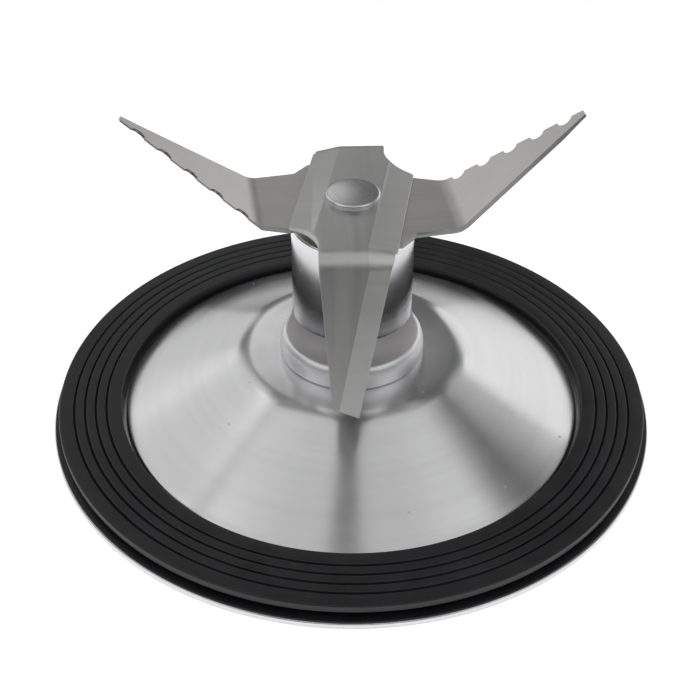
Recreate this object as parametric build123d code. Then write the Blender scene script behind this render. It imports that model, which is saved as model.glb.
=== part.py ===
from build123d import *
import math
import os

os.makedirs("parts", exist_ok=True)

# Units are millimetres. +Z is the spin axis, z = 0 is the underside of the rim flange.

# pressed dish
SHEET = 0.65
FLANGE_R = 39.8
RIM_W = 9.5
STEP_H = 1.9
CONE_INSET = 0.9
LAND_R = 14.3
LAND_Z = 9.4
SHOULDER_W = 1.0
SHOULDER_DROP = 0.16

# rubber ring on the rim
GASKET_MARGIN = 0.8
GASKET_GAP = 0.5
GASKET_H = 2.08
UNDERCUT_W = 1.1
UNDERCUT_H = 0.55
GROOVE_N = 4
GROOVE_INSET = 2.0
GROOVE_W = 0.36
GROOVE_DEPTH = 0.4

# bearing housing
HOUSING_R = 7.65
HOUSING_TOP = 28.8
COLLAR_R = 9.4
COLLAR_H = 2.9
COLLAR_SIDE = 0.8
FLARE_W = 0.85
FLARE_H = 4.2
ROUND_STEPS = 3
NECK_R = 7.0
NECK_END = 5.4
BORE_R = 5.5

# shaft and its fits
SHAFT_R = 4.0
SHAFT_END = 0.8
SEAT_R = 2.8
SEAT_FLAT = 2.2
HEAD_R = 3.35
HEAD_H = 0.9
HEAD_ASIDE = 0.5
RUN_CLEAR = 0.04
SEAT_CLEAR = 0.02
END_FLOAT = 0.2

# blades
UPPER_T = 1.0
UPPER_TOP = 32.33
UPPER_TURN = 3.0
UPPER_HALF_W = 6.77
UPPER_SLANT = 0.19
UPPER_SHARP = 13.35
UPPER_BEND = 72.0
UPPER_BEND_R = 2.4
UPPER_CORNER_Y = 5.8
UPPER_CORNER_CUT = 0.3
UPPER_NOTCH_X = 5.35
UPPER_NOTCH_Y = 7.9
WING_LEN = 20.3
WING_LEAD_IN = 0.7
WING_TRAIL_X = 4.55
WING_TIP_TRAIL_X = 3.25
WING_TIP_LEAD_X = 0.05
WING_TIP_SKEW = 1.8
BEVEL_W = 3.4
BEVEL_DEPTH = 0.68

LOWER_T = 0.7
LOWER_TURN = 8.7
LOWER_BEND = 38.5
LOWER_BEND_R = 2.5
LOWER_SHARP = 11.94
LOWER_LEN = 18.9
LOWER_LEAD_Y = 3.55
LOWER_TIP_LEAD_Y = 2.46
LOWER_TRAIL_Y = 7.4
LOWER_TIP_TRAIL_Y = 3.36
LOWER_ROOT_X = 8.4
LOWER_ROOT_LEAD = 4.8
LOWER_NECK_X = 6.4
LOWER_NECK_TRAIL = 7.85
LOWER_FLARE_X = 1.5
LOWER_FLARE_Y = 9.1
LOWER_FLARE_SAG = 1.0
LOWER_FAN_X = 4.4
LOWER_FAN_Y = 9.8
LOWER_TIP_ROUND = 0.9
SCALLOP_N = 5
SCALLOP_FIRST = 2.1
SCALLOP_PITCH = 3.6
SCALLOP_R = 0.95
SCALLOP_OUT = 0.15
LOWER_BEVEL_W = 2.6
LOWER_BEVEL_DEPTH = 0.45

# stack of small pieces on the shaft
BUSH_L = 6.0
LOWER_BUSH_Z = 6.0
SEAL_H = 2.0
WASHER_T = 0.5
WASHER_INSET = 0.4
FELT_CLEAR = 0.3
SPACER_R = 5.5
SPACER_T = 1.0
CLIP_T = 0.6
CLIP_GAP = 0.1
CLIP_MOUTH = 5.4
CLIP_R = 5.6
GROOVE_R = 3.4
COUPLING_AF = 10.5
COUPLING_BORE = 3.0
COUPLING_FLAT = 2.4
COUPLING_CORNER = 1.2
COUPLING_EDGE = 0.5

# under the dish
NUT_AF = 19.0
NUT_H = 2.2
NUT_EDGE = 0.4
LOCK_T = 0.8
LOCK_W = 2.0
SEAL_OUT = 8.2
SEAL_T = 1.0

HALF_TURN = Rot(0, 0, 180)
REACH = FLANGE_R
STEP_R = FLANGE_R - RIM_W
CONE_FOOT_R = STEP_R - CONE_INSET
GASKET_IN_R = STEP_R + GASKET_GAP
GASKET_OUT_R = FLANGE_R - GASKET_MARGIN
COLLAR_TOP = LAND_Z + COLLAR_H
UPPER_FLAT = UPPER_SHARP - UPPER_BEND_R * math.tan(math.radians(UPPER_BEND / 2))
LOWER_LEAD_FALL = (LOWER_LEAD_Y + LOWER_TIP_LEAD_Y) / LOWER_LEN
LOWER_TOP = UPPER_TOP - UPPER_T
BLADE_SEAT = LOWER_TOP - LOWER_T
SHOULDER_Z = BLADE_SEAT - SPACER_T
CLIP_Z = NECK_END - END_FLOAT - WASHER_T - CLIP_T


def tube(r_out, r_in, z0, z1):
    """A plain ring between two heights."""
    outer = Pos(0, 0, z0) * extrude(Circle(r_out), z1 - z0)
    return outer - Pos(0, 0, z0) * extrude(Circle(r_in), z1 - z0)


def turned(points):
    """A turned piece from its half profile of radius and height."""
    face = make_face(Polyline(*points, close=True))
    return revolve(Plane.XZ * face, Axis.Z)


def double_d(radius, flat):
    """A round section with two flats."""
    return Circle(radius) & Rectangle(2 * flat, 4 * radius)


def base_dish():
    """The sheet steel dish: flange, step, cone, rounded shoulder and land."""
    lean = math.atan2(LAND_Z - STEP_H, CONE_FOOT_R - LAND_R)
    inset = SHEET * (1 - math.cos(lean)) / math.sin(lean)
    drop = SHEET / math.cos(lean)
    wall = STEP_R - SHEET
    under = LAND_Z - SHEET
    inner_z = STEP_H - drop - (wall - CONE_FOOT_R) * math.tan(lean)
    shoulder_z = LAND_Z - SHOULDER_W * math.tan(lean)
    return turned([
        (FLANGE_R, 0),
        (FLANGE_R, SHEET),
        (STEP_R, SHEET),
        (STEP_R, STEP_H - SHEET / 2),
        (CONE_FOOT_R, STEP_H),
        (LAND_R + SHOULDER_W, shoulder_z),
        (LAND_R, LAND_Z - SHOULDER_DROP),
        (LAND_R - SHOULDER_W, LAND_Z),
        (NECK_R + SEAT_CLEAR, LAND_Z),
        (NECK_R + SEAT_CLEAR, under),
        (LAND_R - inset, under),
        (wall, inner_z),
        (wall, 0),
    ])


def rim_gasket():
    """The rubber ring with its concentric grooves and undercut foot."""
    z0 = SHEET
    z1 = SHEET + GASKET_H
    ring = turned([
        (GASKET_IN_R, z0),
        (GASKET_OUT_R - UNDERCUT_W, z0),
        (GASKET_OUT_R, z0 + UNDERCUT_H),
        (GASKET_OUT_R, z1),
        (GASKET_IN_R, z1),
    ])
    pitch = (GASKET_OUT_R - GASKET_IN_R - 2 * GROOVE_INSET) / (GROOVE_N - 1)
    for k in range(GROOVE_N):
        radius = GASKET_OUT_R - GROOVE_INSET - k * pitch
        ring -= turned([
            (radius - GROOVE_W / 2, z1),
            (radius, z1 - GROOVE_DEPTH),
            (radius + GROOVE_W / 2, z1),
        ])
    return ring


def quarter_round(cx, cz, width, height):
    """Points of a rounded corner from its outer side to its top."""
    turn = [math.pi / 2 * k / ROUND_STEPS for k in range(ROUND_STEPS + 1)]
    return [(cx + width * math.cos(t), cz + height * math.sin(t)) for t in turn]


def hollow_flare():
    """Points of the hollow curve from the collar up into the straight body."""
    rise = [k / ROUND_STEPS for k in range(1, ROUND_STEPS + 1)]
    return [(HOUSING_R + FLARE_W * (1 - u) ** 2, COLLAR_TOP + FLARE_H * u) for u in rise]


def bearing_housing():
    """The turned housing: straight body, flare, rounded collar, neck and seal recess."""
    crown_r = HOUSING_R + FLARE_W
    side_z = LAND_Z + COLLAR_SIDE
    return turned([
        (BORE_R, NECK_END),
        (NECK_R, NECK_END),
        (NECK_R, LAND_Z + SEAL_T),
        (SEAL_OUT, LAND_Z + SEAL_T),
        (SEAL_OUT, LAND_Z),
        (COLLAR_R, LAND_Z),
        *quarter_round(crown_r, side_z, COLLAR_R - crown_r, COLLAR_TOP - side_z),
        *hollow_flare(),
        (HOUSING_R, HOUSING_TOP),
        (BORE_R, HOUSING_TOP),
    ])


def drive_shaft():
    """Journal, clip groove, flatted drive end, blade seat and peened head."""
    end_top = CLIP_Z - CLIP_GAP
    shaft = Pos(0, 0, end_top) * extrude(Circle(SHAFT_R), SHOULDER_Z - end_top)
    shaft -= tube(2 * SHAFT_R, GROOVE_R, CLIP_Z, CLIP_Z + CLIP_T)
    shaft += Pos(0, 0, SHAFT_END) * extrude(double_d(COUPLING_BORE, COUPLING_FLAT), end_top - SHAFT_END)
    shaft += Pos(0, 0, SHOULDER_Z) * extrude(double_d(SEAT_R, SEAT_FLAT), UPPER_TOP - SHOULDER_Z)
    head = turned([
        (0, UPPER_TOP),
        (HEAD_R, UPPER_TOP),
        (HEAD_R, UPPER_TOP + HEAD_H / 2),
        (HEAD_R / 2, UPPER_TOP + HEAD_H),
        (0, UPPER_TOP + HEAD_H),
    ])
    return shaft + Pos(0, -HEAD_ASIDE, 0) * head


def blade_hole(z0, z1):
    """The flatted hole that keys a blade to the shaft."""
    return Pos(0, 0, z0) * extrude(double_d(SEAT_R + SEAT_CLEAR, SEAT_FLAT + SEAT_CLEAR), z1 - z0)


def bent_strip(flat, bend_r, bend, length, top, thick, down):
    """Half of a strip seen along its bend line: flat, bend and straight wing."""
    sign = -1 if down else 1
    a = math.radians(bend)
    under_r = bend_r + sign * thick
    cz = top + sign * bend_r

    def on_arc(r, t):
        return (flat + r * math.sin(t), cz - sign * r * math.cos(t))

    p1 = on_arc(bend_r, a)
    q1 = on_arc(under_r, a)
    step = (length * math.cos(a), sign * length * math.sin(a))
    p2 = (p1[0] + step[0], p1[1] + step[1])
    q2 = (q1[0] + step[0], q1[1] + step[1])
    lines = Line((0, top), (flat, top))
    lines += ThreePointArc((flat, top), on_arc(bend_r, a / 2), p1)
    lines += Polyline(p1, p2, q2, q1)
    lines += ThreePointArc(q1, on_arc(under_r, a / 2), (flat, top - thick))
    lines += Polyline((flat, top - thick), (0, top - thick), (0, top))
    return make_face(lines)


def bevel_face(plane, width, depth):
    """Section ground away for a bevel; a negative depth grinds from below."""
    over = 2 * width
    clear = math.copysign(width, depth)
    return plane * make_face(Polyline((0, 0), (over, clear), (over, -2 * depth), close=True))


def upper_plan():
    """Half of the plateau seen from above, with the notch beside the wing's root."""
    lead = UPPER_HALF_W - UPPER_SLANT * UPPER_FLAT
    corner_x = UPPER_HALF_W + UPPER_SLANT * UPPER_CORNER_Y
    cut = (-corner_x + UPPER_CORNER_CUT, -UPPER_CORNER_Y - UPPER_CORNER_CUT)
    root = (-WING_TRAIL_X, -UPPER_FLAT)
    plan = Polyline(cut, (-corner_x, -UPPER_CORNER_Y), (-UPPER_HALF_W, 0), (UPPER_HALF_W, 0))
    plan += Polyline((UPPER_HALF_W, 0), (lead, -UPPER_FLAT), root)
    plan += ThreePointArc(root, (-UPPER_NOTCH_X, -UPPER_NOTCH_Y), cut)
    return make_face(plan)


def upper_half():
    """Half plateau and one wing of the upper blade; the wing hangs on the -Y side."""
    a = math.radians(UPPER_BEND)
    length = WING_LEN - UPPER_BEND_R * math.tan(a / 2)
    lead = UPPER_HALF_W - UPPER_SLANT * UPPER_FLAT
    bend_z = UPPER_TOP - UPPER_BEND_R * (1 - math.cos(a))
    bend_y = -UPPER_FLAT - UPPER_BEND_R * math.sin(a)
    tip_z = bend_z - length * math.sin(a)
    section = bent_strip(UPPER_FLAT, UPPER_BEND_R, UPPER_BEND, length, UPPER_TOP, UPPER_T, True)
    strip = extrude(Plane(origin=(0, 0, 0), x_dir=(0, -1, 0), z_dir=(-1, 0, 0)) * section, REACH, both=True)
    front = Polyline(
        (lead, UPPER_TOP),
        (lead - WING_LEAD_IN, bend_z),
        (-WING_TIP_LEAD_X, tip_z),
        (-WING_TIP_TRAIL_X, tip_z + WING_TIP_SKEW * math.sin(a)),
        (-WING_TRAIL_X, bend_z),
        (-WING_TRAIL_X, UPPER_TOP),
        close=True,
    )
    root = Plane(origin=(0, -UPPER_FLAT, 0), x_dir=(1, 0, 0), z_dir=(0, -1, 0))
    wing = strip & extrude(root * make_face(front), REACH)
    start_x = lead - BEVEL_W
    root_edge = Plane(origin=(start_x, -UPPER_FLAT, UPPER_TOP), x_dir=(1, 0, 0), z_dir=(0, -1, 0))
    at_bend = bevel_face(root_edge, BEVEL_W, BEVEL_DEPTH)
    bend_axis = Axis((0, -UPPER_FLAT, UPPER_TOP - UPPER_BEND_R), (1, 0, 0))
    wing -= revolve(at_bend, bend_axis, UPPER_BEND)
    down = Vector(0, -math.cos(a), -math.sin(a))
    along = down * length - Vector(lead - WING_LEAD_IN + WING_TIP_LEAD_X, 0, 0)
    wing_start = Plane(origin=(start_x, bend_y, bend_z), x_dir=(1, 0, 0), z_dir=down)
    wing -= extrude(bevel_face(wing_start, BEVEL_W, BEVEL_DEPTH), REACH, dir=along)
    plateau = strip & Pos(0, 0, UPPER_TOP - UPPER_T) * extrude(upper_plan(), UPPER_T)
    over = Vector(2 * UPPER_SLANT * UPPER_FLAT, 2 * UPPER_FLAT, 0)
    ground = extrude(at_bend, over.length, dir=over)
    return plateau - ground - HALF_TURN * ground + wing


def upper_blade():
    """The strip whose two wings are bent steeply down."""
    half = upper_half()
    blade = half + HALF_TURN * half
    return Rot(0, 0, UPPER_TURN) * blade - blade_hole(LOWER_TOP, UPPER_TOP)


def lower_plan(tip_x):
    """Half of the lower blade seen from above: fan under the upper blade, root and wing."""
    flare = (LOWER_FLARE_X, LOWER_FLARE_Y)
    root = (LOWER_ROOT_X, LOWER_ROOT_LEAD)
    middle_x = (LOWER_FLARE_X + LOWER_ROOT_X) / 2 - LOWER_FLARE_SAG
    middle_y = (LOWER_FLARE_Y + LOWER_ROOT_LEAD) / 2 - LOWER_FLARE_SAG
    plan = ThreePointArc(flare, (middle_x, middle_y), root)
    plan += Polyline(
        root,
        (LOWER_SHARP, LOWER_LEAD_Y),
        (tip_x + LOWER_TIP_ROUND, -LOWER_TIP_LEAD_Y - LOWER_LEAD_FALL * LOWER_TIP_ROUND),
        (tip_x + LOWER_TIP_ROUND, -LOWER_TIP_TRAIL_Y + LOWER_TIP_ROUND / 4),
        (tip_x - LOWER_TIP_ROUND, -LOWER_TIP_TRAIL_Y - LOWER_TIP_ROUND / 4),
        (LOWER_SHARP, -LOWER_TRAIL_Y),
        (LOWER_NECK_X, -LOWER_NECK_TRAIL),
        (LOWER_FAN_X, -LOWER_FAN_Y),
        (0, -LOWER_FAN_Y),
        (0, LOWER_FLARE_Y),
        flare,
    )
    return make_face(plan)


def lower_half():
    """Half root and one wing of the lower blade; the wing rises on the +X side."""
    a = math.radians(LOWER_BEND)
    tangent = LOWER_BEND_R * math.tan(a / 2)
    flat = LOWER_SHARP - tangent
    section = bent_strip(flat, LOWER_BEND_R, LOWER_BEND, LOWER_LEN - tangent, LOWER_TOP, LOWER_T, False)
    strip = extrude(Plane.XZ * section, REACH, both=True)
    plan = lower_plan(LOWER_SHARP + LOWER_LEN * math.cos(a))
    half = strip & Pos(0, 0, BLADE_SEAT) * extrude(plan, REACH)
    up = Vector(math.cos(a), 0, math.sin(a))
    normal = Vector(-math.sin(a), 0, math.cos(a))
    slope = math.atan(LOWER_LEAD_FALL)
    along = up * math.cos(slope) - Vector(0, 1, 0) * math.sin(slope)
    across = Vector(0, 1, 0) * math.cos(slope) + up * math.sin(slope)
    root = Vector(LOWER_SHARP, LOWER_LEAD_Y, LOWER_TOP)
    for k in range(SCALLOP_N):
        run = (SCALLOP_FIRST + k * SCALLOP_PITCH) / math.cos(slope)
        centre = root + along * run + across * SCALLOP_OUT
        plane = Plane(origin=centre, x_dir=along, z_dir=normal)
        half -= extrude(plane * Circle(SCALLOP_R), 2 * LOWER_T, both=True)
    start = root - across * LOWER_BEVEL_W - normal * LOWER_T - along * LOWER_LEN / 3
    grind = Plane(origin=start, x_dir=across, z_dir=along)
    return half - extrude(bevel_face(grind, LOWER_BEVEL_W, -LOWER_BEVEL_DEPTH), 2 * LOWER_LEN)


def lower_blade():
    """The strip whose two serrated wings are bent up."""
    half = lower_half()
    blade = half + HALF_TURN * half
    return Rot(0, 0, LOWER_TURN) * blade - blade_hole(BLADE_SEAT, LOWER_TOP)


def retaining_clip():
    """An open ring that snaps into the shaft groove."""
    ring = tube(CLIP_R, GROOVE_R + SEAT_CLEAR, CLIP_Z, CLIP_Z + CLIP_T)
    mouth = Pos(CLIP_R, 0, CLIP_Z) * extrude(Rectangle(2 * CLIP_R, CLIP_MOUTH), CLIP_T)
    return ring - mouth


def drive_coupling():
    """The square drive block on the flatted end of the shaft."""
    height = CLIP_Z - CLIP_GAP - SHAFT_END
    block = extrude(Rectangle(COUPLING_AF, COUPLING_AF), height)
    block = chamfer(block.edges().filter_by(Axis.Z), COUPLING_CORNER)
    block = chamfer(block.faces().sort_by(Axis.Z)[0].edges(), COUPLING_EDGE)
    block -= extrude(double_d(COUPLING_BORE + SEAT_CLEAR, COUPLING_FLAT + SEAT_CLEAR), height)
    return Pos(0, 0, SHAFT_END) * block


def lock_nut():
    """The hexagon nut that clamps the housing to the dish."""
    top = LAND_Z - SHEET - LOCK_T
    nut = extrude(RegularPolygon(NUT_AF / 2, 6, major_radius=False), NUT_H)
    nut = chamfer(nut.faces().sort_by(Axis.Z)[0].edges(), NUT_EDGE)
    nut -= extrude(Circle(NECK_R + SEAT_CLEAR), NUT_H)
    return Pos(0, 0, top - NUT_H) * nut


def small_rings():
    """The bushes, felt, seals and washers stacked on the shaft."""
    run = SHAFT_R + RUN_CLEAR
    out = BORE_R - SEAT_CLEAR
    seal_z = HOUSING_TOP - SEAL_H
    upper_z = seal_z - BUSH_L
    felt_z = LOWER_BUSH_Z + BUSH_L
    under = LAND_Z - SHEET
    clip_top = CLIP_Z + CLIP_T
    return {
        "lower_bush": tube(out, run, LOWER_BUSH_Z, felt_z),
        "oil_felt": tube(out, SHAFT_R + FELT_CLEAR, felt_z, upper_z),
        "upper_bush": tube(out, run, upper_z, seal_z),
        "shaft_seal": tube(out, run, seal_z, HOUSING_TOP),
        "upper_washer": tube(SPACER_R, SHAFT_R + FELT_CLEAR, HOUSING_TOP, SHOULDER_Z - END_FLOAT),
        "thrust_washer": tube(NECK_R - WASHER_INSET, SHAFT_R + SEAT_CLEAR, clip_top, clip_top + WASHER_T),
        "housing_seal": tube(SEAL_OUT - SEAT_CLEAR, NECK_R + SEAT_CLEAR, LAND_Z, LAND_Z + SEAL_T),
        "lock_washer": tube(NECK_R + LOCK_W, NECK_R + SEAT_CLEAR, under - LOCK_T, under),
    }


def blade_spacer():
    """The keyed collar that carries the blades on the shaft shoulder."""
    ring = Pos(0, 0, SHOULDER_Z) * extrude(Circle(SPACER_R), SPACER_T)
    return ring - blade_hole(SHOULDER_Z, BLADE_SEAT)


pieces = {
    "base_dish": base_dish(),
    "rim_gasket": rim_gasket(),
    "bearing_housing": bearing_housing(),
    "lock_nut": lock_nut(),
    "drive_shaft": drive_shaft(),
    "upper_blade": upper_blade(),
    "lower_blade": lower_blade(),
    "blade_spacer": blade_spacer(),
    "retaining_clip": retaining_clip(),
    "drive_coupling": drive_coupling(),
}
pieces.update(small_rings())

for name, solid in pieces.items():
    export_step(solid, f"parts/{name}.step")
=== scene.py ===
import math

import bmesh
import bpy
from mathutils import Matrix, Vector


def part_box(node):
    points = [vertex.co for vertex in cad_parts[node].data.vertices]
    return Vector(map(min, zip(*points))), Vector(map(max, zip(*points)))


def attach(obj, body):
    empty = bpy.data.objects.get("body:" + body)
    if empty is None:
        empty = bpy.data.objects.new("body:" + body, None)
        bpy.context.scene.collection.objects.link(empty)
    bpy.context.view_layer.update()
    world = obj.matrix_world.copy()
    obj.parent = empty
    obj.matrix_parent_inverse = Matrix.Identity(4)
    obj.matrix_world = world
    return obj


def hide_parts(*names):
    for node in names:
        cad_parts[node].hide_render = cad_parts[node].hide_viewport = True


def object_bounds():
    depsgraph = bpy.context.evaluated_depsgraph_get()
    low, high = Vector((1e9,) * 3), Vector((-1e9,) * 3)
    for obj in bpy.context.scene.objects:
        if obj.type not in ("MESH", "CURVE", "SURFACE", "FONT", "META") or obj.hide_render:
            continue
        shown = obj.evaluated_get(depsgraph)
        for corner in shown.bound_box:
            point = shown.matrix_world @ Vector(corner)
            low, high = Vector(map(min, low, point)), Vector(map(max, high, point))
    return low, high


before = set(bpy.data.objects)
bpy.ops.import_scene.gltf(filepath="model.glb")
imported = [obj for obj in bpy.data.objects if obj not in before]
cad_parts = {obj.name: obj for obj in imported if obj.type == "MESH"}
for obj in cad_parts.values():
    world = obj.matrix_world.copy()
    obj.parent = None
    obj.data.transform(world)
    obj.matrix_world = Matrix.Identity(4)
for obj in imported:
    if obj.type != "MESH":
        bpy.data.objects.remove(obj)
cad_low, cad_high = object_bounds()

# Lengths below are millimetres and become metres with MM. Z is the spin axis.
MM = 0.001
UP = Vector((0, 0, 1))


def size_of(node):
    """Outer radius, lowest and highest level of a CAD node, in millimetres."""
    low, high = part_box(node)
    return high.x / MM, low.z / MM, high.z / MM


FLANGE_R, FLANGE_Z, LAND_Z = size_of("base_dish")
GASKET_R, SHEET, GASKET_TOP = size_of("rim_gasket")
COLLAR_R, NECK_END, HOUSING_TOP = size_of("bearing_housing")
PLATEAU_Z = size_of("upper_blade")[2]
HEAD_TOP = size_of("drive_shaft")[2]

# dish
STEP_R = 30.3
STEP_H = 1.9
STEP_SHOULDER = 0.40
CONE_FOOT_R = 29.4
LAND_R = 14.3
DISH_HOLE_R = 7.02

# rubber ring
GASKET_IN_R = 30.8
UNDERCUT_W = 1.1
GROOVE_N = 4
GROOVE_INSET = 2.0
GROOVE_W = 0.36
GROOVE_DEPTH = 0.4
SKIRT_R = 39.65
SKIRT_T = 0.22
LIP_H = 1.0

# bearing housing
HOUSING_R = 7.65
COLLAR_H = 2.9
COLLAR_SIDE = 0.8
FLARE_W = 0.85
FLARE_H = 4.2
# share of the flare's height that is dull and coloured darker as painted shade
FLARE_DULL_AND_SHADED = 0.8
NECK_R = 7.0
BORE_R = 5.5
SEAL_OUT = 8.2
SEAL_T = 1.0

# shaft head; the last four are shares of its rise and of its radius
HEAD_R = 3.35
HEAD_ASIDE = 0.5
HEAD_SINK = 0.02
HEAD_UNDERCUT = 0.12
HEAD_WALL_RISE = 0.62
HEAD_EDGE_RISE = 0.84
HEAD_EDGE_R = 0.95
HEAD_FLAT_R = 0.3

# how each blade is turned on the shaft, in degrees
UPPER_TURN = 3.0
LOWER_TURN = 8.7

# parts of a face's normal, in the blade's own frame, that tell ground bevels and sheared edges; the
# lower blade's sheared edges are coloured dark as painted shade
BEVEL_LEAN_MIN = 0.12
BEVEL_LEAN_MAX = 0.4
BEVEL_UP = 0.15
SHEAR_UP = 0.05
SHEAR_LEAN = 0.8
SHADED_SHEAR_SIDE = 0.25

# mesh fineness; angles are degrees, the two merge distances are metres
SPIN_STEPS = 200
ROUND_SEGMENTS = 7
CURVE_STEPS = 12
LONGEST_EDGE = 1.3
MERGE = 1e-7
CAD_MERGE = 1e-6
FLAT_ANGLE = 0.4
SHARP_ANGLE = 32
EDGE_ROUND = 0.07
EDGE_SEGMENTS = 2

# camera, found from the rubber ring's circles in the photograph
FRAME_PX = 700
FOCAL_PX = 1267.65
SENSOR = 36.0
CAMERA_DISTANCE = 171.745
CAMERA_ELEVATION = 37.9
CAMERA_ASIDE = 0.229
CAMERA_ABOVE = -4.617
CAMERA_ROLL = 0.45


def finished(name, bm, materials, body, slot, *nodes):
    """Turns a bmesh into a piece that rides on a body and stands for CAD nodes."""
    mesh = bpy.data.meshes.new(name)
    bm.to_mesh(mesh)
    bm.free()
    mesh.shade_smooth()
    mesh.set_sharp_from_angle(angle=math.radians(SHARP_ANGLE))
    piece = bpy.data.objects.new(name, mesh)
    bpy.context.scene.collection.objects.link(piece)
    for material in materials:
        mesh.materials.append(material)
    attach(piece, body)
    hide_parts(*nodes)
    return piece


def turned(outline):
    """A turned shape. The outline is (radius, height, rounding) round the half section."""
    bm = bmesh.new()
    corners = [bm.verts.new((r * MM, 0, z * MM)) for r, z, _ in outline]
    bm.faces.new(corners)
    for corner, (_, _, rounding) in zip(corners, outline):
        if rounding:
            bmesh.ops.bevel(
                bm,
                geom=[corner],
                offset=rounding * MM,
                offset_type="OFFSET",
                segments=ROUND_SEGMENTS,
                profile=0.5,
                affect="VERTICES",
                material=-1,
            )
    bmesh.ops.delete(bm, geom=bm.faces[:], context="FACES_ONLY")
    while True:
        long_edges = [e for e in bm.edges if e.calc_length() > LONGEST_EDGE * MM]
        if not long_edges:
            break
        bmesh.ops.subdivide_edges(bm, edges=long_edges, cuts=1)
    bmesh.ops.spin(
        bm,
        geom=bm.verts[:] + bm.edges[:],
        cent=(0, 0, 0),
        axis=UP,
        dvec=(0, 0, 0),
        angle=2 * math.pi,
        steps=SPIN_STEPS,
        use_merge=True,
        use_normal_flip=False,
        use_duplicate=False,
    )
    bmesh.ops.remove_doubles(bm, verts=bm.verts, dist=MERGE)
    bmesh.ops.recalc_face_normals(bm, faces=bm.faces)
    return bm


def steps(count):
    """Even steps from 0 to 1."""
    return [k / count for k in range(count + 1)]


def copied(node):
    """A CAD node's shape as a bmesh, with its loose triangles merged into whole faces."""
    bm = bmesh.new()
    bm.from_mesh(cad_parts[node].data)
    bmesh.ops.remove_doubles(bm, verts=bm.verts, dist=CAD_MERGE)
    bmesh.ops.dissolve_limit(
        bm,
        angle_limit=math.radians(FLAT_ANGLE),
        verts=bm.verts,
        edges=bm.edges,
        use_dissolve_boundaries=False,
    )
    return bm


def round_edges(piece):
    """Small rounded edges that catch the light, as on any real stamped or turned piece."""
    bevel = piece.modifiers.new("edge_round", "BEVEL")
    bevel.width = EDGE_ROUND * MM
    bevel.segments = EDGE_SEGMENTS
    bevel.affect = "EDGES"
    bevel.profile = 0.5
    bevel.material = -1
    bevel.limit_method = "ANGLE"
    bevel.angle_limit = math.radians(SHARP_ANGLE)
    bevel.harden_normals = True


def new_node(tree, kind, inputs=None, **settings):
    """A shader node with its settings and plain socket values."""
    made = tree.nodes.new(kind)
    for key, value in settings.items():
        setattr(made, key, value)
    for key, value in (inputs or {}).items():
        made.inputs[key].default_value = value
    return made


def new_group(name, inputs, outputs):
    """A shader group with named value inputs and outputs, and its two end nodes."""
    tree = bpy.data.node_groups.new(name, "ShaderNodeTree")
    for label, value in inputs.items():
        kind = "NodeSocketFloat" if isinstance(value, (int, float)) else "NodeSocketVector"
        socket = tree.interface.new_socket(label, in_out="INPUT", socket_type=kind)
        socket.default_value = value
    for label in outputs:
        tree.interface.new_socket(label, in_out="OUTPUT", socket_type="NodeSocketFloat")
    start = tree.nodes.new("NodeGroupInput")
    end = tree.nodes.new("NodeGroupOutput")
    return tree, start, end


def math_node(tree, operation, a, b):
    """A Math node fed by sockets or plain numbers."""
    made = new_node(tree, "ShaderNodeMath", operation=operation)
    for index, value in enumerate((a, b)):
        if isinstance(value, (int, float)):
            made.inputs[index].default_value = value
        else:
            tree.links.new(value, made.inputs[index])
    return made.outputs[0]


def millimetres(tree):
    """Object coordinates in millimetres."""
    place = new_node(tree, "ShaderNodeTexCoord")
    scaled = new_node(tree, "ShaderNodeVectorMath", operation="SCALE", inputs={"Scale": 1 / MM})
    tree.links.new(place.outputs["Object"], scaled.inputs[0])
    return scaled.outputs[0]


def add_grain(tree, end, place, roughness, broad_scale):
    """Fine relief and broad streaks of one stretched noise, as a group's two outputs."""
    fine = {"Scale": 1.0, "Detail": 3.0, "Roughness": roughness}
    broad = {"Scale": broad_scale, "Detail": 2.0, "Roughness": 0.5}
    for label, values in (("Height", fine), ("Streak", broad)):
        noise = new_node(tree, "ShaderNodeTexNoise", inputs=values)
        tree.links.new(place, noise.inputs["Vector"])
        tree.links.new(noise.outputs[0], end.inputs[label])


def turned_grain_group():
    """Fine rings left by spinning and turning, round the Z axis."""
    tree, start, end = new_group("turned_grain", {"Lines": 6.0, "Breaks": 1.5}, ("Height", "Streak"))
    split = new_node(tree, "ShaderNodeSeparateXYZ")
    tree.links.new(millimetres(tree), split.inputs[0])
    x, y, z = (split.outputs[axis] for axis in "XYZ")
    square = math_node(tree, "ADD", math_node(tree, "MULTIPLY", x, x), math_node(tree, "MULTIPLY", y, y))
    radius = math_node(tree, "POWER", square, 0.5)
    angle = math_node(tree, "ARCTAN2", y, x)
    place = new_node(tree, "ShaderNodeCombineXYZ")
    for axis, value, scale in (("X", radius, "Lines"), ("Y", angle, "Breaks"), ("Z", z, "Lines")):
        tree.links.new(math_node(tree, "MULTIPLY", value, start.outputs[scale]), place.inputs[axis])
    add_grain(tree, end, place.outputs[0], 0.6, 0.13)
    return tree


def brushed_grain_group():
    """Straight grinding lines; Stretch is lines per millimetre along each axis."""
    tree, start, end = new_group(
        "brushed_grain", {"Place": (0, 0, 0), "Stretch": (0.3, 9.0, 9.0)}, ("Height", "Streak"))
    scaled = new_node(tree, "ShaderNodeVectorMath", operation="MULTIPLY")
    tree.links.new(start.outputs["Place"], scaled.inputs[0])
    tree.links.new(start.outputs["Stretch"], scaled.inputs[1])
    add_grain(tree, end, scaled.outputs[0], 0.65, 0.16)
    return tree


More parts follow.
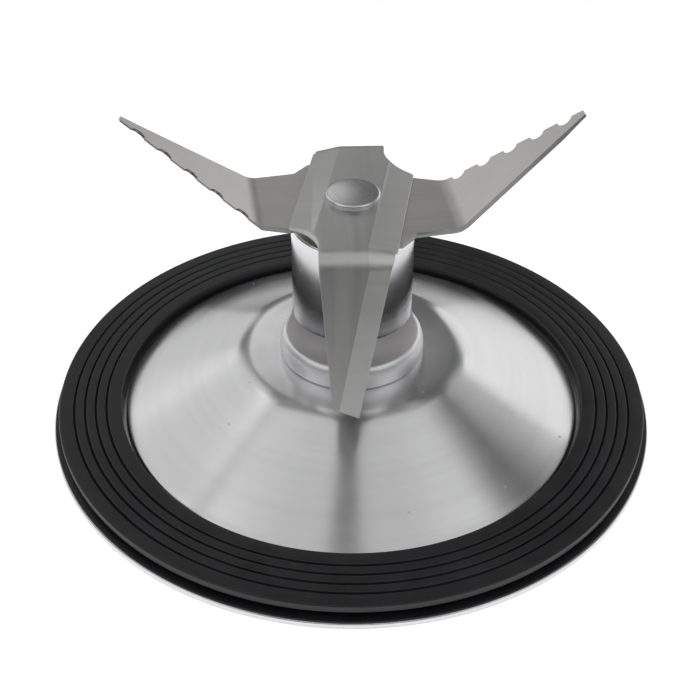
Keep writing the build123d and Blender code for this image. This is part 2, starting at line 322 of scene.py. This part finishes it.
def handling_group():
    """Soft cloudy smudges and a few small specks."""
    tree, start, end = new_group("handling", {"Cloud": 0.12, "Speck": 0.9}, ("Smudge", "Specks"))
    place = millimetres(tree)
    cloud = new_node(tree, "ShaderNodeTexNoise", inputs={"Detail": 4.0, "Roughness": 0.55})
    tree.links.new(place, cloud.inputs["Vector"])
    tree.links.new(start.outputs["Cloud"], cloud.inputs["Scale"])
    dots = new_node(tree, "ShaderNodeTexVoronoi", inputs={"Randomness": 1.0})
    tree.links.new(place, dots.inputs["Vector"])
    tree.links.new(start.outputs["Speck"], dots.inputs["Scale"])
    rare = new_node(tree, "ShaderNodeTexNoise", inputs={"Scale": 0.5, "Detail": 1.0})
    tree.links.new(place, rare.inputs["Vector"])
    near = new_node(tree, "ShaderNodeMapRange", inputs={"From Min": 0.16, "From Max": 0.05})
    tree.links.new(dots.outputs["Distance"], near.inputs["Value"])
    few = new_node(tree, "ShaderNodeMapRange", inputs={"From Min": 0.62, "From Max": 0.68})
    tree.links.new(rare.outputs[0], few.inputs["Value"])
    tree.links.new(cloud.outputs[0], end.inputs["Smudge"])
    tree.links.new(math_node(tree, "MULTIPLY", near.outputs[0], few.outputs[0]), end.inputs["Specks"])
    return tree


TURNED_GRAIN = turned_grain_group()
BRUSHED_GRAIN = brushed_grain_group()
HANDLING = handling_group()


def new_material(name, **values):
    """A material with its Principled shader and plain socket values."""
    material = bpy.data.materials.new(name)
    material.use_nodes = True
    tree = material.node_tree
    shader = tree.nodes["Principled BSDF"]
    for key, value in values.items():
        shader.inputs[key.replace("_", " ")].default_value = value
    return material, tree, shader


def place_group(tree, group, **values):
    """A shared effect placed in a material with its own values."""
    made = new_node(tree, "ShaderNodeGroup", node_tree=group)
    for key, value in values.items():
        made.inputs[key].default_value = value
    return made


def ranged(tree, socket, low, high):
    """A 0.3 to 0.7 noise value spread over low to high."""
    made = new_node(tree, "ShaderNodeMapRange", inputs={
        "From Min": 0.3, "From Max": 0.7, "To Min": low, "To Max": high})
    tree.links.new(socket, made.inputs["Value"])
    return made.outputs[0]


def colour_between(tree, socket, dark, light):
    """A colour that runs from dark to light with a noise value."""
    made = new_node(tree, "ShaderNodeMix", data_type="RGBA")
    made.inputs[6].default_value = (*dark, 1)
    made.inputs[7].default_value = (*light, 1)
    tree.links.new(ranged(tree, socket, 0.0, 1.0), made.inputs[0])
    return made.outputs[2]


def bump(tree, shader, socket, depth_mm):
    """Relief of a given depth in millimetres."""
    made = new_node(tree, "ShaderNodeBump", inputs={"Strength": 1.0, "Distance": depth_mm * MM})
    tree.links.new(socket, made.inputs["Height"])
    tree.links.new(made.outputs[0], shader.inputs["Normal"])


def turned_steel(name, dark, light, rough, spread, depth, anisotropic=0.0):
    """Steel with rings of turning marks and faint smudges."""
    material, tree, shader = new_material(name, Metallic=1.0, Anisotropic=anisotropic)
    grain = place_group(tree, TURNED_GRAIN, Lines=7.0, Breaks=1.2)
    touch = place_group(tree, HANDLING, Cloud=0.11, Speck=0.55)
    marks = math_node(tree, "ADD", ranged(tree, grain.outputs["Streak"], 0.25, 0.6),
                      ranged(tree, touch.outputs["Smudge"], -0.1, 0.25))
    tree.links.new(colour_between(tree, marks, dark, light), shader.inputs["Base Color"])
    worn = math_node(tree, "ADD", ranged(tree, touch.outputs["Smudge"], rough - spread, rough + spread),
                     math_node(tree, "MULTIPLY", touch.outputs["Specks"], 0.25))
    tree.links.new(worn, shader.inputs["Roughness"])
    bump(tree, shader, grain.outputs["Height"], depth)
    if anisotropic:
        tangent = new_node(tree, "ShaderNodeTangent", direction_type="RADIAL", axis="Z")
        tree.links.new(tangent.outputs[0], shader.inputs["Tangent"])
        shader.inputs["Anisotropic Rotation"].default_value = 0.25
    return material


def ground_steel(name, dark, light, rough, spread, depth, turn, stretch):
    """Steel with straight grinding lines; turn is the lines' angle in degrees for each axis."""
    material, tree, shader = new_material(name, Metallic=1.0)
    mapping = new_node(tree, "ShaderNodeMapping", inputs={
        "Rotation": tuple(math.radians(a) for a in turn)})
    tree.links.new(millimetres(tree), mapping.inputs["Vector"])
    grain = place_group(tree, BRUSHED_GRAIN, Stretch=stretch)
    tree.links.new(mapping.outputs[0], grain.inputs["Place"])
    touch = place_group(tree, HANDLING, Cloud=0.2, Speck=0.8)
    marks = math_node(tree, "ADD", ranged(tree, grain.outputs["Streak"], 0.2, 0.6),
                      ranged(tree, touch.outputs["Smudge"], -0.1, 0.2))
    tree.links.new(colour_between(tree, marks, dark, light), shader.inputs["Base Color"])
    worn = math_node(tree, "ADD", ranged(tree, grain.outputs["Streak"], rough - spread, rough + spread),
                     math_node(tree, "MULTIPLY", touch.outputs["Specks"], 0.15))
    tree.links.new(worn, shader.inputs["Roughness"])
    bump(tree, shader, grain.outputs["Height"], depth)
    return material


def moulded_rubber(name, dark, light, rough, spread):
    """Matt rubber with a fine moulded skin, cloudy bloom and a little dust."""
    material, tree, shader = new_material(name, Specular_IOR_Level=0.5)
    touch = place_group(tree, HANDLING, Cloud=0.16, Speck=1.3)
    skin = new_node(tree, "ShaderNodeTexNoise", inputs={"Scale": 9.0, "Detail": 2.0, "Roughness": 0.6})
    tree.links.new(millimetres(tree), skin.inputs["Vector"])
    shade = math_node(tree, "ADD", touch.outputs["Smudge"],
                      math_node(tree, "MULTIPLY", touch.outputs["Specks"], 0.6))
    tree.links.new(colour_between(tree, shade, dark, light), shader.inputs["Base Color"])
    tree.links.new(ranged(tree, touch.outputs["Smudge"], rough - spread, rough + spread),
                   shader.inputs["Roughness"])
    bump(tree, shader, skin.outputs[0], 0.012)
    return material


def grained(name, dark, light, rough, spread, scale, depth, metallic=0.0):
    """An even granular surface, such as sintered bronze, felt or fibre sheet."""
    material, tree, shader = new_material(name, Metallic=metallic)
    grain = new_node(tree, "ShaderNodeTexNoise", inputs={
        "Scale": scale, "Detail": 4.0, "Roughness": 0.7})
    tree.links.new(millimetres(tree), grain.inputs["Vector"])
    tree.links.new(colour_between(tree, grain.outputs[0], dark, light), shader.inputs["Base Color"])
    tree.links.new(ranged(tree, grain.outputs[0], rough + spread, rough - spread),
                   shader.inputs["Roughness"])
    bump(tree, shader, grain.outputs[0], depth)
    return material


DISH_STEEL = turned_steel("dish_steel", (0.72, 0.72, 0.73), (0.76, 0.76, 0.77), 0.22, 0.03, 0.0004, 0.8)
HOUSING_STEEL = turned_steel("housing_steel", (0.68, 0.68, 0.69), (0.73, 0.73, 0.74), 0.16, 0.03, 0.0003)
# painted shade: the flare's steel is coloured darker than the body's
FLARE_SHADED_STEEL = turned_steel("flare_steel_painted_shade", (0.50, 0.485, 0.485), (0.54, 0.525, 0.525), 0.46, 0.03, 0.0003)
# painted highlight: the collar's steel is coloured paler than the body's
COLLAR_HIGHLIGHT_STEEL = turned_steel("collar_steel_painted_highlight", (0.86, 0.86, 0.87), (0.90, 0.90, 0.91), 0.44, 0.03, 0.0003)
SHAFT_STEEL = turned_steel("shaft_steel", (0.63, 0.63, 0.64), (0.71, 0.71, 0.72), 0.27, 0.04, 0.0005)
PLATED_STEEL = turned_steel("plated_steel", (0.52, 0.52, 0.51), (0.62, 0.62, 0.60), 0.30, 0.05, 0.001)
UPPER_STEEL = ground_steel("upper_blade_steel", (0.62, 0.615, 0.61), (0.66, 0.655, 0.65),
                           0.46, 0.04, 0.0015, (0, 0, -UPPER_TURN), (7.0, 0.25, 0.25))
LOWER_STEEL = ground_steel("lower_blade_steel", (0.62, 0.61, 0.60), (0.67, 0.66, 0.65),
                           0.48, 0.04, 0.0015, (0, 0, -LOWER_TURN), (0.25, 7.0, 0.25))
EDGE_STEEL = ground_steel("ground_edge_steel", (0.66, 0.655, 0.65), (0.70, 0.695, 0.69),
                          0.46, 0.04, 0.002, (0, 0, -UPPER_TURN), (0.4, 8.0, 8.0))
# painted shade: sheared cut edges coloured dark as if they lay in shadow
SHADED_CUT_STEEL = ground_steel("sheared_edge_painted_shade_steel", (0.28, 0.28, 0.28), (0.38, 0.38, 0.38),
                         0.40, 0.06, 0.002, (0, 0, 0), (2.0, 2.0, 9.0))
RUBBER = moulded_rubber("gasket_rubber", (0.010, 0.010, 0.012), (0.016, 0.016, 0.019), 0.36, 0.06)
SEAL_RUBBER = moulded_rubber("seal_rubber", (0.012, 0.012, 0.012), (0.02, 0.02, 0.02), 0.6, 0.05)
BRONZE = grained("bush_bronze", (0.50, 0.35, 0.17), (0.66, 0.48, 0.26), 0.42, 0.08, 5.0, 0.01, 1.0)
FELT = grained("oil_felt", (0.30, 0.26, 0.20), (0.52, 0.47, 0.39), 0.95, 0.04, 3.0, 0.08)
FIBRE = grained("fibre_sheet", (0.22, 0.09, 0.05), (0.33, 0.15, 0.09), 0.6, 0.08, 4.0, 0.02)


def make_dish():
    """The pressed dish: flange, step, cone, soft shoulder and land."""
    lean = math.atan2(LAND_Z - STEP_H, CONE_FOOT_R - LAND_R)
    inset = SHEET * (1 - math.cos(lean)) / math.sin(lean)
    wall = STEP_R - SHEET
    inner_z = STEP_H - SHEET / math.cos(lean) - (wall - CONE_FOOT_R) * math.tan(lean)
    under = LAND_Z - SHEET
    outline = [
        (FLANGE_R, FLANGE_Z, 0.12),
        (FLANGE_R, SHEET, 0.16),
        (STEP_R, SHEET, 0.10),
        (STEP_R, STEP_H - STEP_SHOULDER, 0.30),
        (CONE_FOOT_R, STEP_H, 0.40),
        (LAND_R, LAND_Z, 1.1),
        (DISH_HOLE_R, LAND_Z, 0.08),
        (DISH_HOLE_R, under, 0.08),
        (LAND_R - inset, under, 0.9),
        (wall, inner_z, 0.20),
        (wall, FLANGE_Z, 0.25),
    ]
    finished("pressed_dish", turned(outline), [DISH_STEEL], "base", "dish_steel", "base_dish")


def make_gasket():
    """The rubber ring: thin skirt on the flange, side groove, straight lip and sealing grooves."""
    outline = [
        (GASKET_IN_R, SHEET, 0.10),
        (SKIRT_R, SHEET, 0.05),
        (SKIRT_R, SHEET + SKIRT_T, 0.10),
        (GASKET_R - UNDERCUT_W, SHEET + SKIRT_T, 0.05),
        (GASKET_R, GASKET_TOP - LIP_H, 0.10),
        (GASKET_R, GASKET_TOP, 0.16),
    ]
    pitch = (GASKET_R - GASKET_IN_R - 2 * GROOVE_INSET) / (GROOVE_N - 1)
    for k in range(GROOVE_N):
        radius = GASKET_R - GROOVE_INSET - k * pitch
        outline += [
            (radius + GROOVE_W / 2, GASKET_TOP, 0.07),
            (radius, GASKET_TOP - GROOVE_DEPTH, 0.04),
            (radius - GROOVE_W / 2, GASKET_TOP, 0.07),
        ]
    outline.append((GASKET_IN_R, GASKET_TOP, 0.22))
    finished("grooved_gasket", turned(outline), [RUBBER], "base", "gasket_rubber", "rim_gasket")


def make_housing():
    """The housing: straight polished body, dull flare coloured darker as painted shade, and soft rounded
    collar coloured paler as a painted highlight.
    """
    side = LAND_Z + COLLAR_SIDE
    top = LAND_Z + COLLAR_H
    crown_r = HOUSING_R + FLARE_W
    outline = [
        (BORE_R, NECK_END, 0.15),
        (NECK_R, NECK_END, 0.3),
        (NECK_R, LAND_Z + SEAL_T, 0),
        (SEAL_OUT, LAND_Z + SEAL_T, 0),
        (SEAL_OUT, LAND_Z, 0),
        (COLLAR_R, LAND_Z, 0.25),
    ]
    for u in steps(CURVE_STEPS):
        t = math.pi / 2 * u
        radius = crown_r + (COLLAR_R - crown_r) * math.cos(t)
        outline.append((radius, side + (top - side) * math.sin(t), 0))
    for u in steps(CURVE_STEPS)[1:]:
        outline.append((HOUSING_R + FLARE_W * (1 - u) ** 2, top + FLARE_H * u, 0))
    outline += [
        (HOUSING_R, HOUSING_TOP, 0.3),
        (BORE_R, HOUSING_TOP, 0.15),
    ]
    bm = turned(outline)
    # body, flare and collar are split by height: the flare carries painted shade, the collar a painted
    # highlight
    for face in bm.faces:
        height = face.calc_center_median().z / MM
        face.material_index = (height < top + FLARE_DULL_AND_SHADED * FLARE_H) + (height < top)
    materials = [HOUSING_STEEL, FLARE_SHADED_STEEL, COLLAR_HIGHLIGHT_STEEL]
    finished("turned_housing", bm, materials, "base", "housing_steel", "bearing_housing")


def make_shaft():
    """The shaft with its flats, and the smooth peened head on top of the blades."""
    bm = copied("drive_shaft")
    foot = PLATEAU_Z - HEAD_SINK
    cut = bmesh.ops.bisect_plane(
        bm,
        geom=bm.verts[:] + bm.edges[:] + bm.faces[:],
        plane_co=UP * foot * MM,
        plane_no=UP,
        clear_outer=True,
    )
    rim = [e for e in cut["geom_cut"] if isinstance(e, bmesh.types.BMEdge)]
    bmesh.ops.contextual_create(bm, geom=rim)
    rise = HEAD_TOP - PLATEAU_Z
    head = turned([
        (0, foot, 0),
        (HEAD_R - HEAD_UNDERCUT, foot, 0),
        (HEAD_R, PLATEAU_Z + HEAD_WALL_RISE * rise, 0.08),
        (HEAD_EDGE_R * HEAD_R, PLATEAU_Z + HEAD_EDGE_RISE * rise, 0.12),
        (HEAD_FLAT_R * HEAD_R, HEAD_TOP, 0.7),
        (0, HEAD_TOP, 0),
    ])
    bmesh.ops.translate(head, verts=head.verts, vec=Vector((0, -HEAD_ASIDE, 0)) * MM)
    dome = bpy.data.meshes.new("head_dome")
    head.to_mesh(dome)
    head.free()
    bm.from_mesh(dome)
    bpy.data.meshes.remove(dome)
    finished("peened_shaft", bm, [SHAFT_STEEL], "rotor", "shaft_steel", "drive_shaft")


def make_upper_blade():
    """The upper blade: ground bevels along its leading edges and sheared cut edges."""
    bm = copied("upper_blade")
    turn = Matrix.Rotation(math.radians(-UPPER_TURN), 3, "Z")
    for face in bm.faces:
        normal = turn @ face.normal
        if BEVEL_LEAN_MIN < abs(normal.x) < BEVEL_LEAN_MAX and normal.z > BEVEL_UP:
            face.material_index = 1
        elif abs(normal.z) < SHEAR_UP or abs(normal.x) > SHEAR_LEAN:
            face.material_index = 2
    materials = [UPPER_STEEL, EDGE_STEEL, LOWER_STEEL]
    round_edges(finished("upper_blade_ground", bm, materials, "rotor", "blade_steel", "upper_blade"))


def make_lower_blade():
    """The serrated lower blade, with its sheared cut edges coloured dark as painted shade."""
    bm = copied("lower_blade")
    turn = Matrix.Rotation(math.radians(-LOWER_TURN), 3, "Z")
    for face in bm.faces:
        normal = turn @ face.normal
        # sheared edges get the dark steel, which is painted shade
        face.material_index = 1 if abs(normal.y) > SHADED_SHEAR_SIDE else 0
    materials = [LOWER_STEEL, SHADED_CUT_STEEL]
    round_edges(finished("lower_blade_ground", bm, materials, "rotor", "blade_steel", "lower_blade"))


def make_small_pieces():
    """Small turned and pressed pieces: their CAD shape with rounded edges and a finish."""
    finishes = {
        "blade_spacer": (SHAFT_STEEL, "rotor", "shaft_steel"),
        "thrust_washer": (PLATED_STEEL, "rotor", "plated_steel"),
        "retaining_clip": (PLATED_STEEL, "rotor", "plated_steel"),
        "drive_coupling": (PLATED_STEEL, "rotor", "plated_steel"),
        "lock_washer": (PLATED_STEEL, "base", "plated_steel"),
        "lock_nut": (PLATED_STEEL, "base", "plated_steel"),
        "upper_washer": (FIBRE, "base", "fibre_sheet"),
    }
    for node, (material, body, slot) in finishes.items():
        round_edges(finished(node + "_finished", copied(node), [material], body, slot, node))
    inside = {
        "housing_seal": SEAL_RUBBER,
        "shaft_seal": SEAL_RUBBER,
        "lower_bush": BRONZE,
        "upper_bush": BRONZE,
        "oil_felt": FELT,
    }
    for node, material in inside.items():
        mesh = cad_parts[node].data
        mesh.materials.clear()
        mesh.materials.append(material)


def make_camera():
    """The camera at the photograph's viewing angle."""
    tilt = math.radians(CAMERA_ELEVATION)
    right = Vector((1, 0, 0))
    back = Vector((0, -math.cos(tilt), math.sin(tilt)))
    above = Vector((0, math.sin(tilt), math.cos(tilt)))
    place = back * CAMERA_DISTANCE - right * CAMERA_ASIDE - above * CAMERA_ABOVE + UP * GASKET_TOP
    turn = Matrix((right, above, back)).transposed() @ Matrix.Rotation(math.radians(CAMERA_ROLL), 3, "Z")
    data = bpy.data.cameras.new("camera")
    data.sensor_width = SENSOR
    data.lens = SENSOR * FOCAL_PX / FRAME_PX
    data.clip_start = 0.01
    camera = bpy.data.objects.new("camera", data)
    camera.matrix_world = Matrix.Translation(place * MM) @ turn.to_4x4()
    bpy.context.scene.collection.objects.link(camera)
    bpy.context.scene.camera = camera


# softboxes: azimuth from the camera's side and elevation in degrees,
# width and height in metres, brightness where 1 is white
SOFTBOXES = (
    ("left_low", 223, 11, 0.54, 0.28, 0.62),
    ("left", 234, 38, 0.44, 0.36, 0.62),
    ("left_high", 258, 69, 0.46, 0.40, 0.56),
    ("right_high", 92, 70.5, 0.44, 0.38, 0.52),
    ("right_back", 146, 14, 0.40, 0.36, 0.88),
    ("right_mid", 131, 37, 0.26, 0.22, 0.36),
    ("right_low", 110, 14, 0.34, 0.30, 0.75),
    ("back", 188, 34, 0.12, 0.17, 0.85),
    ("front_left", 302, 38, 0.42, 0.42, 0.75),
    ("front", 0, 54, 0.36, 0.26, 0.60),
    ("front_right", 58, 38, 0.42, 0.42, 0.75),
)

# metres, and the world's strength for all but the camera
SOFTBOX_DISTANCE = 0.6
FILL = 0.12


def make_lights():
    """Softboxes on a dome round the object and an even fill from the world."""
    for name, azimuth, elevation, width, height, brightness in SOFTBOXES:
        a = math.radians(azimuth)
        e = math.radians(elevation)
        out = Vector((math.sin(a) * math.cos(e), -math.cos(a) * math.cos(e), math.sin(e)))
        data = bpy.data.lights.new("softbox_" + name, "AREA")
        data.shape = "RECTANGLE"
        data.size = width
        data.size_y = height
        data.energy = math.pi * width * height * brightness
        lamp = bpy.data.objects.new("softbox_" + name, data)
        lamp.rotation_mode = "QUATERNION"
        lamp.location = out * SOFTBOX_DISTANCE
        lamp.rotation_quaternion = out.to_track_quat("Z", "Y")
        bpy.context.scene.collection.objects.link(lamp)
    world = bpy.data.worlds.new("studio")
    world.use_nodes = True
    sky = world.node_tree.nodes["Background"]
    sky.inputs["Color"].default_value = (1, 1, 1, 1)
    path = new_node(world.node_tree, "ShaderNodeLightPath")
    strength = math_node(world.node_tree, "MAXIMUM", path.outputs["Is Camera Ray"], FILL)
    world.node_tree.links.new(strength, sky.inputs["Strength"])
    bpy.context.scene.world = world


# floor: metres, then its colour, its glow and how much less it glows under the part, which is a painted
# shadow
FLOOR_R = 0.09
FLOOR_GAP = 0.00005
FLOOR_SEGMENTS = 64
FLOOR_COLOUR = (0.8, 0.8, 0.8, 1)
FLOOR_GLOW = 0.70
UNDER_PAINTED_SHADOW = 0.40


def make_floor():
    """A white floor that keeps a faint shadow, glows less under the part as a painted shadow, and is
    clear from below.
    """
    material = bpy.data.materials.new("floor_white")
    material.use_nodes = True
    tree = material.node_tree
    tree.nodes.remove(tree.nodes["Principled BSDF"])
    matt = new_node(tree, "ShaderNodeBsdfDiffuse", inputs={"Color": FLOOR_COLOUR})
    white = new_node(tree, "ShaderNodeEmission")
    path = new_node(tree, "ShaderNodeLightPath")
    seen = path.outputs["Is Camera Ray"]
    for ray in ("Is Glossy Ray", "Is Transmission Ray"):
        seen = math_node(tree, "MAXIMUM", seen, path.outputs[ray])
    place = new_node(tree, "ShaderNodeTexCoord")
    span = new_node(tree, "ShaderNodeVectorMath", operation="LENGTH")
    tree.links.new(place.outputs["Object"], span.inputs[0])
    # painted shadow: the floor glows less inside the flange's radius
    under = math_node(tree, "LESS_THAN", span.outputs["Value"], FLANGE_R * MM)
    glow = math_node(tree, "SUBTRACT", FLOOR_GLOW, math_node(tree, "MULTIPLY", under, UNDER_PAINTED_SHADOW))
    tree.links.new(math_node(tree, "MULTIPLY", seen, glow), white.inputs["Strength"])
    both = new_node(tree, "ShaderNodeAddShader")
    tree.links.new(matt.outputs[0], both.inputs[0])
    tree.links.new(white.outputs[0], both.inputs[1])
    side = new_node(tree, "ShaderNodeNewGeometry")
    clear = new_node(tree, "ShaderNodeBsdfTransparent")
    above = new_node(tree, "ShaderNodeMixShader")
    tree.links.new(side.outputs["Backfacing"], above.inputs[0])
    tree.links.new(both.outputs[0], above.inputs[1])
    tree.links.new(clear.outputs[0], above.inputs[2])
    tree.links.new(above.outputs[0], tree.nodes["Material Output"].inputs["Surface"])
    bm = bmesh.new()
    bmesh.ops.create_circle(bm, cap_ends=True, radius=FLOOR_R, segments=FLOOR_SEGMENTS)
    bmesh.ops.translate(bm, verts=bm.verts, vec=UP * (cad_low.z - FLOOR_GAP))
    mesh = bpy.data.meshes.new("floor")
    bm.to_mesh(mesh)
    bm.free()
    mesh.materials.append(material)
    floor = bpy.data.objects.new("floor", mesh)
    bpy.context.scene.collection.objects.link(floor)


make_camera()
make_lights()
make_floor()
make_dish()
make_gasket()
make_housing()
make_shaft()
make_upper_blade()
make_lower_blade()
make_small_pieces()

bpy.context.scene.view_settings.view_transform = "Standard"
